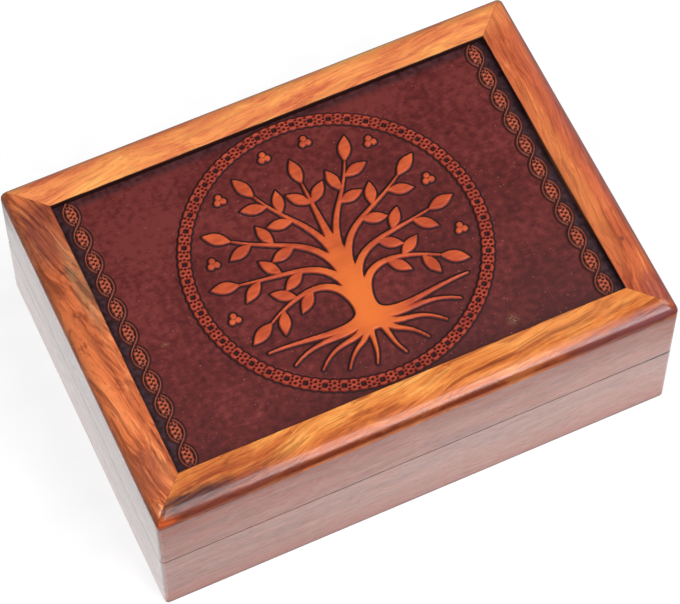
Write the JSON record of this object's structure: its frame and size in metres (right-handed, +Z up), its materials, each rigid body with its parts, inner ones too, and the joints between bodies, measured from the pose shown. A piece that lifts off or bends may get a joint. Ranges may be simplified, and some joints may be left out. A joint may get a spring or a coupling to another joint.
{
  "type": "wooden jewelry box",
  "caption": "Hinged wooden keepsake box with mitred rails, a recessed carved lid panel with a tree in a ring and braided side borders, velvet liners and brass butt hinges.",
  "frame": {"origin": "middle of the underside", "axes": "+X to the right along the long side seen from the front, -Y towards the front, +Z up"},
  "size_m": [0.178, 0.128, 0.0625],
  "materials": {
    "rail_wood": "oiled and polished reddish hardwood",
    "carved_wood": "dark stained ground with lighter raised carving",
    "bottom_board": "plain sanded plywood",
    "spline_wood": "plain sawn hardwood",
    "velvet": "short-pile velvet on card",
    "brass": "satin, lightly tarnished",
    "steel": "bright drawn wire"
  },
  "bodies": {
    "base": {"base_front_rail": "rail_wood", "base_back_rail": "rail_wood", "base_left_rail": "rail_wood", "base_right_rail": "rail_wood", "base_bottom_panel": "bottom_board", "bottom_panel_brads": "steel", "base_corner_splines": "spline_wood", "floor_liner": "velvet", "base_front_wall_liner": "velvet", "base_back_wall_liner": "velvet", "base_left_wall_liner": "velvet", "base_right_wall_liner": "velvet", "left_hinge_base_leaf": "brass", "right_hinge_base_leaf": "brass", "left_hinge_pin": "steel", "right_hinge_pin": "steel", "hinge_base_screws": "brass"},
    "lid": {"lid_front_rail": "rail_wood", "lid_back_rail": "rail_wood", "lid_left_rail": "rail_wood", "lid_right_rail": "rail_wood", "lid_panel": "carved_wood", "lid_corner_splines": "spline_wood", "lid_ceiling_liner": "velvet", "lid_front_wall_liner": "velvet", "lid_back_wall_liner": "velvet", "lid_left_wall_liner": "velvet", "lid_right_wall_liner": "velvet", "left_hinge_lid_leaf": "brass", "right_hinge_lid_leaf": "brass", "hinge_lid_screws": "brass"}
  },
  "joints": [
    {"name": "lid_hinge", "type": "hinge", "parent": "base", "child": "lid", "pos_m": [0, 0.0616, 0.03145], "axis": [-1, 0, 0], "range_deg": [0, 100]}
  ]
}
